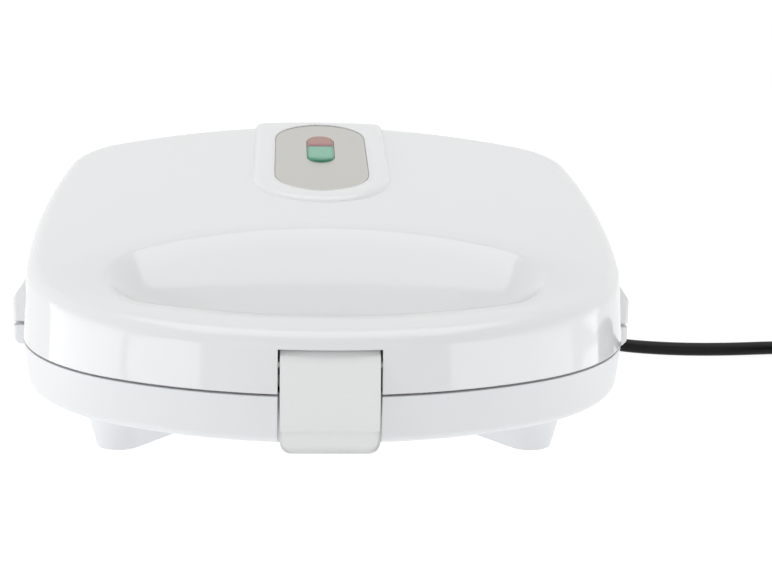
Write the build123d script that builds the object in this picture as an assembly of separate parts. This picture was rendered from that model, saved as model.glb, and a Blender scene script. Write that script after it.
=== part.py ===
from build123d import *
import os
from math import atan, cos, degrees, hypot, pi, radians, sin, sqrt, tan

# Table-top donut maker. Millimetres, +Z up, front towards -Y, origin on the table under its middle.

# Housing outline seen from above, at the parting line: a chain of tangent arcs
HALF_WIDTH = 116.8
FRONT_REACH = 114.4
REAR_REACH = 113.2
FRONT_RADIUS = 146.0
FRONT_CORNER = 82.0
SIDE_RADIUS = 440.0
SIDE_MIDDLE = 18.0
REAR_CORNER = 31.0
REAR_RADIUS = 300.0
WALL = 2.5

# Heights
PARTING_Z = 36.0
PARTING_GAP = 0.8
BASE_BOTTOM_Z = 18.4
LID_Z = PARTING_Z + PARTING_GAP / 2
BASE_TOP_Z = PARTING_Z - PARTING_GAP / 2

# Lid: drafted flank, crowned top that climbs to the rear, soft shoulder
LID_DRAFT = 4.3
TOP_Z = 78.9
TOP_SLOPE = 0.199
CROWN_RADIUS = 1000.0
SHOULDER = 6.0
TOP_TILT = degrees(atan(TOP_SLOPE))

# Base: drafted wall and rounded lower edge
BASE_DRAFT = 6.0
BASE_EDGE = 3.6

# Raised rib on the lid, trim plate and lamp lenses
RIB_HALF_WIDTH = 29.0
RIB_FRONT_Y = 7.5
RIB_RISE = 1.8
RIB_EDGE = 3.2
RIB_STEP = 0.5
RIB_SHOULDER = 4.0
PLATE_WIDTH = 39.0
PLATE_MARGIN = 9.8
PLATE_REAR_MARGIN = 12.7
PLATE_FRONT_Y = RIB_FRONT_Y + PLATE_MARGIN
PLATE_REAR_Y = REAR_REACH - PLATE_REAR_MARGIN
PLATE_THICK = 0.8
PLATE_GAP = 0.35
PLATE_SINK = 1.1
LENS_WIDTH = 11.8
LENS_MARGIN = 17.0
LENS_LENGTH = 31.8
RED_LENGTH = 14.4
LENS_REAR_Y = PLATE_REAR_Y - LENS_MARGIN
LENS_FRONT_Y = LENS_REAR_Y - LENS_LENGTH
LENS_SPLIT_Y = LENS_REAR_Y - RED_LENGTH
LENS_GAP = 0.15
LENS_PROUD = 0.9

# Finger pocket in the lid: a crescent at its mouth and a smaller one at its floor. The rounded ends
# of each are drawn about points that lie a tip's length behind its front.
POCKET_LIP = 16.0
POCKET_FRONT = FRONT_REACH - POCKET_LIP
POCKET_DEPTH = 82.6
POCKET_REAR = POCKET_FRONT - POCKET_DEPTH
POCKET_SIDE = 29.1
POCKET_HALF = HALF_WIDTH - POCKET_SIDE
POCKET_END = 22.0
POCKET_TIP = 53.069396
POCKET_FLOOR_Z = 52.0
FLOOR_LIP = 22.5
FLOOR_FRONT = FRONT_REACH - FLOOR_LIP
FLOOR_DEPTH = 31.9
FLOOR_REAR = FLOOR_FRONT - FLOOR_DEPTH
FLOOR_SIDE = 53.0
FLOOR_HALF = HALF_WIDTH - FLOOR_SIDE
FLOOR_END = 8.0
FLOOR_TIP = 18.61273042
POCKET_EDGE = 3.5
POCKET_ROUND = 4.0
POCKET_ROUND_STEPS = 3
POCKET_MOUTH = 1.5

# Latch, its pin and the recess that it hangs in
LATCH_WIDTH = 33.3
LATCH_GAP = 0.7
LATCH_PIN_INSET = 6.1
LATCH_PIN_Y = LATCH_PIN_INSET - FRONT_REACH
LATCH_PIN_Z = 45.4
LATCH_PIN_RADIUS = 1.5
LATCH_HEAD = 5.3
LATCH_PROUD = 1.8
LATCH_THICK = 4.8
LATCH_TAB = 3.3
LATCH_FACE_Y = -FRONT_REACH - LATCH_PROUD
LATCH_BACK_Y = LATCH_FACE_Y + LATCH_THICK
LATCH_TAB_Y = LATCH_FACE_Y - LATCH_TAB
LATCH_BOTTOM_Z = 18.0
LATCH_TAB_Z = 24.2
LATCH_CORNER = 4.0
LATCH_HEAD_BACK = 2.0
LATCH_NECK = 3.498
LATCH_TAB_THIN = 2.0
LATCH_UNDERCUT = 1.2
LATCH_FOOT = 1.0
LATCH_PIN_GRIP = 4.0
BEAD_Z = 29.0
BEAD_RISE = 1.3
CATCH_Z = 32.4
CATCH_HEIGHT = 2.2
CATCH_GAP = 0.3
RECESS_DEPTH = 9.8
RECESS_BACK_Y = RECESS_DEPTH - FRONT_REACH
NOTCH_DEPTH = 5.8
NOTCH_BACK_Y = NOTCH_DEPTH - FRONT_REACH
RUNNING_GAP = 0.05

# Side lugs on both housings, at the parting line
LUG_MIDDLE_Y = -1.0
LUG_LENGTH = 30.0
LUG_PROUD = 3.8
LUG_TOP_Z = 57.5
LUG_KNEE_Z = 45.8
LUG_BOTTOM_Z = 27.8
LUG_GAP = 1.5
LUG_EDGE = 1.2
LUG_CHAMFER = 2.0

# Hinge at the rear
HINGE_SETBACK = 0.8
HINGE_Y = REAR_REACH + HINGE_SETBACK
HINGE_Z = 37.5
HINGE_RADIUS = 5.5
HINGE_X = 66.0
KNUCKLE_WIDTH = 9.6
HINGE_LUG = 5.0
HINGE_SIDE_GAP = 0.3
HINGE_PIN_RADIUS = 2.5
HINGE_PIN_HEAD = 1.2
HINGE_PIN_LIP = 1.2
KNUCKLE_TOP_Z = 56.0
HINGE_LUG_BOTTOM_Z = 22.0

# Legs and their rubber pads
LEG_X = 70.0
LEG_Y = 48.5
LEG_LENGTH = 36.0
LEG_WIDTH = 17.0
LEG_TURN = 53.0
LEG_DRAFT = 14.0
PAD_PROUD = 0.6
PAD_THICK = 2.0
PAD_MARGIN = 3.5

# Baking plates: seven ring cavities, one in the middle and six round it
RING_COUNT = 6
RING_MARGIN = 49.2
RING_PITCH = min(HALF_WIDTH, REAR_REACH) - RING_MARGIN
RING_DEPTH = 10.0
RING_WALL = 2.0
RING_SPACE = 1.0
RING_RADIUS = RING_PITCH / 2 - RING_DEPTH - RING_WALL - RING_SPACE
BAKE_INSET = 6.5
BAKE_THICK = 2.5
BAKE_GAP = 0.2
BAKE_NOTCH_MARGIN = 2.0
BOSS_X = 68.0
BOSS_Y = 38.0
PLATE_BOSS = 9.0
PLATE_BOSS_HEIGHT = 7.5
HOUSING_BOSS = 12.0
SCREW_RADIUS = 1.9
SCREW_HEAD = 3.6
SCREW_HEAD_HEIGHT = 2.0
SCREW_REACH = 5.0
SCREW_GAP = 0.2

# Heating elements and heat shields
TUBE_RADIUS = 3.25
TUBE_SEAT = 0.2
TUBE_GAP_ANGLE = 44.0
TERMINAL_RADIUS = 1.6
TERMINAL_LENGTH = 7.0
SHIELD_THICK = 0.6
SHIELD_INSET = 16.0
SHIELD_GAP = 1.6
SHIELD_HOLE_GAP = 0.4
SHIELD_CUT_GAP = 2.0
SHIELD_FRONT_Y = -50.0

# Thermostat, fuse, lamps, terminal block
THERMOSTAT_SETBACK = 31.2
THERMOSTAT_Y = REAR_REACH - THERMOSTAT_SETBACK
THERMOSTAT_RADIUS = 8.5
THERMOSTAT_HEIGHT = 9.0
THERMOSTAT_LIP = 1.0
TAB_THICK = 0.8
TAB_WIDTH = 6.3
TAB_LENGTH = 9.0
TAB_ROOT = 0.5
PEDESTAL_RADIUS = 5.0
PEDESTAL_STAND = 0.5
PEDESTAL_HEIGHT = RING_DEPTH + RING_WALL - BAKE_THICK + PEDESTAL_STAND
FUSE_X = 40.0
FUSE_Y = 8.0
FUSE_RADIUS = 2.2
FUSE_LENGTH = 14.0
FUSE_LEAD_RADIUS = 0.6
STRAP_THICK = 0.8
HOLDER_WIDTH = 20.0
HOLDER_MARGIN = 5.0
HOLDER_DEPTH = 11.0
HOLDER_WALL = 1.6
HOLDER_PAD = 1.0
LAMP_RADIUS = 2.5
LAMP_LENGTH = 10.0
BLOCK_LENGTH = 34.0
BLOCK_WIDTH = 12.0
BLOCK_HEIGHT = 11.0
BLOCK_X = -2.0
BLOCK_SETBACK = 18.2
BLOCK_Y = REAR_REACH - BLOCK_SETBACK
BLOCK_POLES = 3
BLOCK_BORE = 2.0
BLOCK_WELL = 2.2

# Cord, its strain relief and plug
CORD_DIAMETER = 6.0
GLAND_X = 35.0
GLAND_Z = 26.6
GLAND_RADIUS = 5.5
GLAND_FLANGE = 7.0
GLAND_FLANGE_THICK = 2.5
GLAND_COLLAR = 0.9
GLAND_STAND = 1.0
GLAND_BEVEL = 1.0
GLAND_GRIP = 9.0
GLAND_TIP = 4.6
GLAND_LENGTH = 30.0
FLOOR_GAP = 0.05
FLOOR_LINE = CORD_DIAMETER / 2 + FLOOR_GAP
TIE_THICK = 0.8
COIL_LINE = CORD_DIAMETER / 2 + TIE_THICK + 2 * FLOOR_GAP
COIL_X = 240.0
COIL_Y = 34.5
COIL_RADIUS = 37.5
COIL_PITCH = 6.6
COIL_CLIMB = 6.7
COIL_START = 8.0
COIL_ENTRY = 20.0
TAIL_LENGTH = 40.0
TAIL_RISE = 1.25
CORD_BEND = 0.45
TIE_WIDTH = 10.0
TIE_GAP = 0.35
PLUG_RADIUS = 18.5
PLUG_LENGTH = 36.0
PLUG_SLEEVE = 26.0
PLUG_SLEEVE_RADIUS = 6.5
PLUG_SLEEVE_TAPER = 1.5
PLUG_SHOULDER = 4.0
PLUG_NECK = 8.0
PLUG_PIN_RADIUS = 2.4
PLUG_PIN_SPACING = 19.0
PLUG_PIN_LENGTH = 19.0
PLUG_TILT = 7.6
CORD_ROUTE = [
    (GLAND_X, 164.5, GLAND_Z),
    (42.0, 185.0, 16.0),
    (62.0, 198.0, 5.0),
    (89.0, 195.0, FLOOR_LINE),
    (111.0, 176.0, FLOOR_LINE),
    (117.0, 150.0, FLOOR_LINE),
    (116.0, 122.0, FLOOR_LINE),
    (121.0, 96.5, FLOOR_LINE),
    (136.0, 79.0, FLOOR_LINE),
    (159.0, 71.8, FLOOR_LINE),
    (184.0, 71.0, FLOOR_LINE),
]


def meeting_point(first, first_reach, second, second_reach, side):
    # The point that lies the given reaches from two centres, on the rear (+1) or front (-1) side
    along = (second[0] - first[0], second[1] - first[1])
    span = hypot(*along)
    step = (first_reach**2 - second_reach**2 + span**2) / (2 * span)
    rise = sqrt(first_reach**2 - step**2)
    unit = (along[0] / span, along[1] / span)
    across = (-unit[1], unit[0])
    if across[1] * side < 0:
        across = (-across[0], -across[1])
    return (first[0] + step * unit[0] + rise * across[0], first[1] + step * unit[1] + rise * across[1])


def touch(centre, radius, through):
    # Where a circle meets the line from its centre through a point
    reach = hypot(through[0] - centre[0], through[1] - centre[1])
    scale = radius / reach
    return (centre[0] + (through[0] - centre[0]) * scale, centre[1] + (through[1] - centre[1]) * scale)


def arc(centre, radius, start, end):
    middle = ((start[0] + end[0]) / 2, (start[1] + end[1]) / 2)
    return ThreePointArc(start, touch(centre, radius, middle), end)


def flip(point):
    return (-point[0], point[1])


def closed_face(edges):
    return Face(Wire(edges))


def outline(inset):
    # The housing's outline, moved in by an even inset
    front = (0.0, FRONT_RADIUS - FRONT_REACH)
    side = (HALF_WIDTH - SIDE_RADIUS, SIDE_MIDDLE)
    rear = (0.0, REAR_REACH - REAR_RADIUS)
    front_corner = meeting_point(front, FRONT_RADIUS - FRONT_CORNER, side, SIDE_RADIUS - FRONT_CORNER, -1)
    rear_corner = meeting_point(rear, REAR_RADIUS - REAR_CORNER, side, SIDE_RADIUS - REAR_CORNER, 1)
    a = touch(front, FRONT_RADIUS - inset, front_corner)
    b = touch(side, SIDE_RADIUS - inset, front_corner)
    c = touch(side, SIDE_RADIUS - inset, rear_corner)
    d = touch(rear, REAR_RADIUS - inset, rear_corner)
    edges = [
        arc(front, FRONT_RADIUS - inset, flip(a), a),
        arc(front_corner, FRONT_CORNER - inset, a, b),
        arc(side, SIDE_RADIUS - inset, b, c),
        arc(rear_corner, REAR_CORNER - inset, c, d),
        arc(rear, REAR_RADIUS - inset, d, flip(d)),
        arc(flip(rear_corner), REAR_CORNER - inset, flip(d), flip(c)),
        arc(flip(side), SIDE_RADIUS - inset, flip(c), flip(b)),
        arc(flip(front_corner), FRONT_CORNER - inset, flip(b), flip(a)),
    ]
    return closed_face(edges)


def bowed_radius(x, bow, end):
    # The radius of an arc that runs on into round ends, drawn about points x aside and a bow behind it
    return (x**2 + bow**2 - end**2) / (2 * (bow - end))


def lens_face(front, front_radius, rear, half, end, grow):
    # A rounded crescent between a front arc and a rear arc, of a given half length
    front_centre = (0.0, front_radius - front)
    x = half - end
    tip = (x, front_centre[1] - sqrt((front_radius - end) ** 2 - x**2))
    rear_radius = bowed_radius(x, -rear - tip[1], end)
    rear_centre = (0.0, -rear - rear_radius)
    a = touch(front_centre, front_radius + grow, tip)
    b = touch(rear_centre, rear_radius + grow, tip)
    edges = [
        arc(front_centre, front_radius + grow, flip(a), a),
        arc(tip, end + grow, a, b),
        arc(rear_centre, rear_radius + grow, b, flip(b)),
        arc(flip(tip), end + grow, flip(b), flip(a)),
    ]
    return closed_face(edges)


def top_plane(lift):
    # The plane of the lid's top along its middle, raised by lift
    normal = Vector(0, -sin(radians(TOP_TILT)), cos(radians(TOP_TILT)))
    return Plane(origin=Vector(0, 0, TOP_Z) + normal * lift, x_dir=(1, 0, 0), z_dir=normal)


def along_top(y):
    # A distance from front to rear, measured along the sloping top
    return y / cos(radians(TOP_TILT))


def lid_form(inset, drop, shoulder):
    # The lid's outer form, moved in by inset, with its top lowered by drop
    flank = extrude(Pos(0, 0, LID_Z) * outline(inset), amount=2 * TOP_Z, taper=LID_DRAFT)
    top = top_plane(-CROWN_RADIUS)
    axis_plane = Plane(origin=top.origin, x_dir=-top.z_dir, z_dir=top.y_dir)
    crown = axis_plane * Cylinder(CROWN_RADIUS - drop, 8 * HALF_WIDTH)
    body = flank & crown
    top_face = body.faces().filter_by(GeomType.CYLINDER).sort_by(SortBy.AREA)[-1]
    return fillet(top_face.edges(), shoulder)


def pocket_section(share, grow):
    # The pocket's outline at a share of the way from its floor to its mouth
    def between(low, high):
        return low + (high - low) * share

    face = lens_face(
        between(FLOOR_FRONT, POCKET_FRONT),
        between(
            bowed_radius(FLOOR_HALF - FLOOR_END, FLOOR_TIP, FLOOR_END),
            bowed_radius(POCKET_HALF - POCKET_END, POCKET_TIP, POCKET_END),
        ),
        between(FLOOR_REAR, POCKET_REAR),
        between(FLOOR_HALF, POCKET_HALF),
        between(FLOOR_END, POCKET_END),
        grow,
    )
    return face, radians(between(0.0, TOP_TILT))


def pocket_form(grow):
    # Walls run from the mouth to the floor, and end in a quarter round at the bottom
    floor_z = POCKET_FLOOR_Z - grow
    mouth_z = top_plane(POCKET_MOUTH).origin.Z
    middle_y = -(FLOOR_FRONT + FLOOR_REAR) / 2
    depth = mouth_z + TOP_SLOPE * middle_y - POCKET_FLOOR_Z
    turns = [radians(90 * i / POCKET_ROUND_STEPS) for i in range(POCKET_ROUND_STEPS + 1)]
    steps = [(POCKET_ROUND * (1 - cos(turn)) / depth, POCKET_ROUND * (1 - sin(turn))) for turn in turns]
    sections = []
    for share, inset in steps + [(1.0, 0.0)]:
        face, tilt = pocket_section(share, grow - inset)
        origin = (0, 0, floor_z + (mouth_z - floor_z) * share)
        sections.append(Plane(origin=origin, x_dir=(1, 0, 0), z_dir=(0, -sin(tilt), cos(tilt))) * face)
    return loft(sections, ruled=True)


def cross_cylinder(radius, length, x, y, z):
    # A cylinder that lies along X
    return Pos(x, y, z) * Rot(0, 90, 0) * Cylinder(radius, length)


def span_box(low, high):
    middle = [(low[i] + high[i]) / 2 for i in range(3)]
    size = [high[i] - low[i] for i in range(3)]
    return Pos(*middle) * Box(*size)


def latch_room(back_y, bottom_z, grow):
    # The space behind the latch, closed at the back and at the sides
    half = LATCH_WIDTH / 2 + LATCH_GAP + grow
    low = (-half, -2 * FRONT_REACH, bottom_z)
    high = (half, back_y + grow, LATCH_PIN_Z)
    return span_box(low, high)


def latch_recess(grow):
    # Room for the latch in the lid: behind it, round its head and in front of its head
    half = LATCH_WIDTH / 2 + LATCH_GAP + grow
    reach = LATCH_HEAD + LATCH_GAP + grow
    room = latch_room(RECESS_BACK_Y, LID_Z - WALL, grow)
    head = cross_cylinder(reach, 2 * half, 0, LATCH_PIN_Y, LATCH_PIN_Z)
    lip = span_box((-half, -2 * FRONT_REACH, LATCH_PIN_Z), (half, LATCH_PIN_Y, LATCH_PIN_Z + reach))
    return room + head + lip


def both_sides(shape):
    return [shape, mirror(shape, about=Plane.YZ)]


def four_corners(x, y):
    return [(sx * x, sy * y) for sx in (-1, 1) for sy in (-1, 1)]


def side_lug(points):
    # A lug drawn as its section in X and Z, run along the flank
    face = Plane.XZ.offset(-LUG_MIDDLE_Y) * make_face(Polyline(*points, close=True))
    body = extrude(face, amount=LUG_LENGTH / 2, both=True)
    outer = body.edges().filter_by(Axis.Z).sort_by(Axis.X)[-2:]
    return fillet(outer, LUG_EDGE)


def lid_lug():
    face_x = HALF_WIDTH + LUG_PROUD
    low = PARTING_Z + LUG_GAP / 2
    top_x = HALF_WIDTH - WALL - (LUG_TOP_Z - LID_Z) * tan(radians(LID_DRAFT))
    root = top_x - WALL
    return side_lug([(root, low), (face_x, low), (face_x, LUG_KNEE_Z), (top_x, LUG_TOP_Z), (root, LUG_TOP_Z)])


def base_lug():
    root = HALF_WIDTH - WALL
    face_x = HALF_WIDTH + LUG_PROUD
    high = PARTING_Z - LUG_GAP / 2
    inner = root - (high - LUG_BOTTOM_Z) * tan(radians(BASE_DRAFT))
    foot = (face_x - LUG_CHAMFER, LUG_BOTTOM_Z)
    heel = (face_x, LUG_BOTTOM_Z + LUG_CHAMFER)
    return side_lug([(root, high), (face_x, high), heel, foot, (inner, LUG_BOTTOM_Z)])


def hinge_eye(width, points):
    # An eye round the hinge axis with a web that runs into its housing
    web = extrude(Plane.YZ * make_face(Polyline(*points, close=True)), amount=width / 2, both=True)
    eye = cross_cylinder(HINGE_RADIUS, width, 0, HINGE_Y, HINGE_Z)
    return eye + web


def lid_knuckle():
    root = REAR_REACH - HINGE_X**2 / (2 * REAR_RADIUS)
    lean = (KNUCKLE_TOP_Z - LID_Z) * tan(radians(LID_DRAFT))
    points = [
        (HINGE_Y - HINGE_RADIUS, HINGE_Z),
        (HINGE_Y, HINGE_Z),
        (HINGE_Y + HINGE_RADIUS, HINGE_Z),
        (HINGE_Y + HINGE_RADIUS * cos(radians(30)), HINGE_Z + HINGE_RADIUS * sin(radians(30))),
        (root - lean, KNUCKLE_TOP_Z),
        (root - lean - WALL, KNUCKLE_TOP_Z),
        (root - lean - WALL, HINGE_Z + HINGE_RADIUS),
    ]
    return hinge_eye(KNUCKLE_WIDTH, points)


def base_hinge_lugs():
    root = REAR_REACH - HINGE_X**2 / (2 * REAR_RADIUS)
    lean = (BASE_TOP_Z - HINGE_LUG_BOTTOM_Z) * tan(radians(BASE_DRAFT))
    points = [
        (HINGE_Y, BASE_TOP_Z),
        (HINGE_Y, HINGE_Z),
        (HINGE_Y + HINGE_RADIUS, HINGE_Z),
        (HINGE_Y + HINGE_RADIUS * cos(radians(-30)), HINGE_Z + HINGE_RADIUS * sin(radians(-30))),
        (root - lean, HINGE_LUG_BOTTOM_Z),
        (root - lean - 2 * WALL, HINGE_LUG_BOTTOM_Z),
        (root - 2 * WALL, BASE_TOP_Z - WALL),
        (root - WALL, BASE_TOP_Z),
    ]
    lug = hinge_eye(HINGE_LUG, points)
    offset_x = KNUCKLE_WIDTH / 2 + HINGE_SIDE_GAP + HINGE_LUG / 2
    return [Pos(HINGE_X - offset_x, 0, 0) * lug, Pos(HINGE_X + offset_x, 0, 0) * lug]


def hinge_bore(width):
    return cross_cylinder(HINGE_PIN_RADIUS, width, HINGE_X, HINGE_Y, HINGE_Z)


def boss_column(radius, low_z, high_z, x, y):
    return Pos(x, y, (low_z + high_z) / 2) * Cylinder(radius, high_z - low_z)


def stadium(width, front_y, rear_y, grow):
    # A slot-shaped face with round ends, drawn on the lid's sloping top
    length = along_top(rear_y - front_y) + 2 * grow
    middle = along_top((front_y + rear_y) / 2)
    return Pos(0, middle) * SlotOverall(length, width + 2 * grow, rotation=90)


def raised_rib():
    form = lid_form(RIB_STEP, -RIB_RISE, RIB_SHOULDER)
    front = RIB_FRONT_Y + RIB_HALF_WIDTH
    plan = Pos(0, front) * Circle(RIB_HALF_WIDTH)
    plan += Pos(0, front + REAR_REACH / 2) * Rectangle(2 * RIB_HALF_WIDTH, REAR_REACH)
    prism = Pos(0, 0, (LID_Z + TOP_Z) / 2) * extrude(plan, amount=2 * TOP_Z)
    rib = form & prism
    top_face = rib.faces().filter_by(GeomType.CYLINDER).sort_by(SortBy.AREA)[-1]
    rim = [e for e in top_face.edges() if e.center().Y < REAR_REACH - 4 * RIB_SHOULDER]
    return fillet(rim, RIB_EDGE)


def plate_level():
    # How far the seat of the trim plate lies above the lid's top, along its middle
    return RIB_RISE - PLATE_SINK


def lens_slot(grow):
    return stadium(LENS_WIDTH, LENS_FRONT_Y, LENS_REAR_Y, grow)


def holder_level():
    # Level of the flat pad under the lid's roof that the lamp holder is fixed to
    return -WALL - HOLDER_PAD


def holder_length():
    return along_top(LENS_REAR_Y - LENS_FRONT_Y) + 2 * HOLDER_MARGIN


def holder_middle():
    return along_top((LENS_FRONT_Y + LENS_REAR_Y) / 2)


def make_lid_housing():
    outer = lid_form(0.0, 0.0, SHOULDER)
    shaped = outer - pocket_form(0.0)
    crown = shaped.faces().filter_by(GeomType.CYLINDER).sort_by(SortBy.AREA)[-1]
    shaped = fillet(crown.inner_wires()[0].edges(), POCKET_EDGE)
    core = shaped
    cavity = lid_form(WALL, WALL, SHOULDER - WALL) - pocket_form(WALL) - latch_recess(WALL)
    housing = shaped + raised_rib() - cavity - latch_recess(0.0)
    low = upper_boss_level()
    step_z = PARTING_Z + shield_level() + SHIELD_THICK
    for x, y in four_corners(BOSS_X, BOSS_Y):
        column = boss_column(PLATE_BOSS / 2, low, step_z, x, y)
        column += boss_column(HOUSING_BOSS / 2, step_z, 2 * TOP_Z, x, y) & core
        column -= boss_column(SCREW_RADIUS, low, low + SCREW_REACH, x, y)
        housing += column
    for lug in both_sides(lid_lug()):
        housing += lug - cavity
    for knuckle in both_sides(Pos(HINGE_X, 0, 0) * lid_knuckle()):
        housing += knuckle - cavity
    running = cross_cylinder(HINGE_PIN_RADIUS + RUNNING_GAP, KNUCKLE_WIDTH + WALL, HINGE_X, HINGE_Y, HINGE_Z)
    for bore in both_sides(running):
        housing -= bore
    pad = Pos(0, holder_middle()) * Rectangle(HOLDER_WIDTH, holder_length())
    housing += extrude(top_plane(holder_level()) * pad, amount=WALL)
    seat = top_plane(plate_level()) * stadium(PLATE_WIDTH, PLATE_FRONT_Y, PLATE_REAR_Y, PLATE_GAP)
    housing -= extrude(seat, amount=2 * RIB_RISE)
    housing -= extrude(top_plane(-3 * WALL) * lens_slot(LENS_GAP), amount=4 * WALL)
    housing -= cross_cylinder(LATCH_PIN_RADIUS, latch_pin_length(), 0, LATCH_PIN_Y, LATCH_PIN_Z)
    return housing


def latch_pin_length():
    return LATCH_WIDTH + 2 * LATCH_GAP + LATCH_PIN_GRIP


def make_latch_pin():
    return cross_cylinder(LATCH_PIN_RADIUS, latch_pin_length(), 0, LATCH_PIN_Y, LATCH_PIN_Z)


def make_latch():
    front_top = (LATCH_PIN_Y - LATCH_HEAD, LATCH_PIN_Z)
    crest = (LATCH_PIN_Y, LATCH_PIN_Z + LATCH_HEAD)
    turn = sin(radians(45)) * LATCH_HEAD
    tab_thick = LATCH_THICK - LATCH_TAB_THIN
    neck = (LATCH_PIN_Y, LATCH_PIN_Z - LATCH_NECK)
    side = [
        ThreePointArc(front_top, (LATCH_PIN_Y - turn, LATCH_PIN_Z + turn), crest),
        ThreePointArc(crest, (LATCH_PIN_Y + LATCH_HEAD_BACK, LATCH_PIN_Z + LATCH_HEAD_BACK), neck),
        Polyline(
            neck,
            (LATCH_BACK_Y, LATCH_PIN_Z - LATCH_HEAD),
            (LATCH_BACK_Y, BEAD_Z + BEAD_RISE),
            (LATCH_BACK_Y + BEAD_RISE, BEAD_Z),
            (LATCH_BACK_Y, BEAD_Z - BEAD_RISE),
            (LATCH_BACK_Y - LATCH_UNDERCUT, LATCH_TAB_Z + LATCH_FOOT),
            (LATCH_TAB_Y + tab_thick, LATCH_BOTTOM_Z),
            (LATCH_TAB_Y, LATCH_BOTTOM_Z),
            (LATCH_TAB_Y, LATCH_BOTTOM_Z + LATCH_FOOT),
            (LATCH_FACE_Y, LATCH_TAB_Z),
            (LATCH_FACE_Y, PARTING_Z),
            front_top,
        ),
    ]
    face = Plane.YZ * make_face(side)
    body = extrude(face, amount=LATCH_WIDTH / 2, both=True)
    corners = body.edges().filter_by(Axis.Y).group_by(Axis.Z)[0]
    body = fillet(corners, LATCH_CORNER)
    return body - cross_cylinder(LATCH_PIN_RADIUS + RUNNING_GAP, 2 * LATCH_WIDTH, 0, LATCH_PIN_Y, LATCH_PIN_Z)


def base_form(inset, floor_z):
    return extrude(Pos(0, 0, BASE_TOP_Z) * outline(inset), amount=floor_z - BASE_TOP_Z, taper=BASE_DRAFT)


def leg_face(grow):
    return SlotOverall(LEG_LENGTH + 2 * grow, LEG_WIDTH + 2 * grow, rotation=0)


def leg_places():
    # Each leg points outwards from the middle of the base
    places = []
    for x, y in four_corners(LEG_X, LEG_Y):
        turn = LEG_TURN if x * y > 0 else -LEG_TURN
        places.append(Pos(x, y, 0) * Rot(0, 0, turn))
    return places


def lower_boss_level():
    return PARTING_Z - BAKE_GAP / 2 - BAKE_THICK - PLATE_BOSS_HEIGHT


def upper_boss_level():
    return PARTING_Z + BAKE_GAP / 2 + BAKE_THICK + PLATE_BOSS_HEIGHT


def rear_cylinder(radius, front_y, rear_y):
    # A cylinder on the gland's axis, which runs from front to rear
    return Pos(GLAND_X, (front_y + rear_y) / 2, GLAND_Z) * Rot(-90, 0, 0) * Cylinder(radius, rear_y - front_y)


def make_base_housing():
    outer = base_form(0.0, BASE_BOTTOM_Z)
    outer = fillet(outer.faces().sort_by(Axis.Z)[0].edges(), BASE_EDGE)
    cavity = base_form(WALL, BASE_BOTTOM_Z + WALL)
    cavity -= latch_room(NOTCH_BACK_Y, BASE_BOTTOM_Z, WALL)
    housing = outer - latch_room(NOTCH_BACK_Y, 0.0, 0.0) - cavity
    catch_reach = LATCH_BACK_Y + BEAD_RISE + CATCH_GAP
    housing += span_box(
        (-LATCH_WIDTH / 4, catch_reach, CATCH_Z - CATCH_HEIGHT / 2),
        (LATCH_WIDTH / 4, NOTCH_BACK_Y + WALL / 2, CATCH_Z + CATCH_HEIGHT / 2),
    )
    step_z = PARTING_Z - shield_level() - SHIELD_THICK
    for x, y in four_corners(BOSS_X, BOSS_Y):
        column = boss_column(HOUSING_BOSS / 2, BASE_BOTTOM_Z + WALL / 2, step_z, x, y)
        column += boss_column(PLATE_BOSS / 2, step_z, lower_boss_level(), x, y)
        column -= boss_column(SCREW_RADIUS, lower_boss_level() - SCREW_REACH, lower_boss_level(), x, y)
        housing += column
    for place in leg_places():
        height = BASE_BOTTOM_Z + WALL - PAD_PROUD
        leg = extrude(Pos(0, 0, PAD_PROUD) * leg_face(0.0), amount=height, taper=-LEG_DRAFT)
        recess = extrude(leg_face(-PAD_MARGIN), amount=PAD_THICK)
        housing += place * leg - cavity
        housing -= place * recess
    for lug in both_sides(base_lug()):
        housing += lug - cavity
    for lug in base_hinge_lugs():
        for one in both_sides(lug - cavity):
            housing += one
    for bore in both_sides(hinge_bore(KNUCKLE_WIDTH + 2 * HINGE_LUG + 2 * WALL)):
        housing -= bore
    seat = gland_seat_y()
    housing += rear_cylinder(GLAND_FLANGE + GLAND_COLLAR, seat - GLAND_GRIP, seat) - cavity
    housing -= rear_cylinder(GLAND_RADIUS, seat - 2 * GLAND_GRIP, seat)
    return housing


def make_foot_pads():
    return [extrude(place * leg_face(-PAD_MARGIN), amount=PAD_THICK) for place in leg_places()]


def ring_centres():
    places = [(0.0, 0.0)]
    for i in range(RING_COUNT):
        turn = radians(i * 360 / RING_COUNT)
        places.append((RING_PITCH * cos(turn), RING_PITCH * sin(turn)))
    return places


def ring_back():
    # The cast underside of one ring: a half octagon turned round the ring's middle
    reach = RING_DEPTH + RING_WALL
    side = ring_back_side()
    points = [
        (RING_RADIUS - reach, 0),
        (RING_RADIUS - reach, -side),
        (RING_RADIUS - side, -reach),
        (RING_RADIUS + side, -reach),
        (RING_RADIUS + reach, -side),
        (RING_RADIUS + reach, 0),
    ]
    return revolve(Plane.XZ * make_face(Polyline(*points, close=True)), axis=Axis.Z)


def ring_back_side():
    return (RING_DEPTH + RING_WALL) * tan(radians(22.5))


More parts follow.
